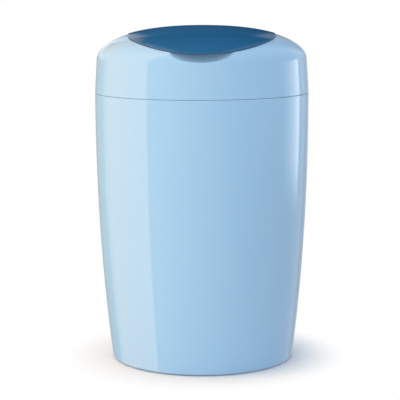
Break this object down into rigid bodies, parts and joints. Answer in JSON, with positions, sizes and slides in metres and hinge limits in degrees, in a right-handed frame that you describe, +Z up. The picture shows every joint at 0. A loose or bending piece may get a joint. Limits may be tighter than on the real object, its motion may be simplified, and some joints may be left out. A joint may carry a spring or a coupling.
{
  "type": "nappy bin",
  "caption": "Round tapered nappy bin with a domed lid, a lens-shaped lift-up flap over a sealed throat, a finger scoop, and a ring that clamps the bag.",
  "frame": {"origin": "on the floor under the middle of the bin, at the bottom centre of its bounding box", "axes": "+Z up, -Y towards the front with the finger scoop, +Y towards the hinge, +X to the right seen from the front"},
  "size_m": [0.27, 0.27, 0.424],
  "materials": {
    "light_blue": "glossy moulded",
    "dark_blue": "glossy moulded",
    "pale_plastic": "satin moulded",
    "foot_rubber": "matt",
    "seal_rubber": "matt",
    "steel": "zinc plated",
    "tablet": "pressed, chalky"
  },
  "bodies": {
    "bin": {"bin_body": "light_blue", "foot_1": "foot_rubber", "foot_2": "foot_rubber", "foot_3": "foot_rubber", "foot_4": "foot_rubber"},
    "ring": {"bag_ring": "pale_plastic"},
    "lid": {"lid_shell": "light_blue", "lid_collar": "pale_plastic", "throat": "pale_plastic", "lid_seal": "seal_rubber", "hinge_pin_1": "steel", "hinge_pin_2": "steel", "collar_screw_1": "steel", "collar_screw_2": "steel", "collar_screw_3": "steel", "collar_screw_4": "steel"},
    "flap": {"flap_cover": "dark_blue", "flap_liner": "dark_blue", "flap_seal": "seal_rubber", "scent_disc": "tablet", "liner_screw_1": "steel", "liner_screw_2": "steel", "liner_screw_3": "steel", "liner_screw_4": "steel"},
    "cap": {"scent_cap": "pale_plastic"}
  },
  "joints": [
    {"name": "bag_ring_lift", "type": "slide", "parent": "bin", "child": "ring", "axis": [0, 0, 1], "range_m": [0, 0.03]},
    {"name": "lid_lift", "type": "slide", "parent": "ring", "child": "lid", "axis": [0, 0, 1], "range_m": [0, 0.04]},
    {"name": "flap_hinge", "type": "hinge", "parent": "lid", "child": "flap", "pos_m": [0, 0.12326, 0.3835], "axis": [-1, 0, 0], "range_deg": [0, 90]},
    {"name": "scent_cap_turn", "type": "hinge", "parent": "flap", "child": "cap", "pos_m": [0, 0, 0.39], "axis": [0, 0, 1], "range_deg": [0, 60]}
  ]
}
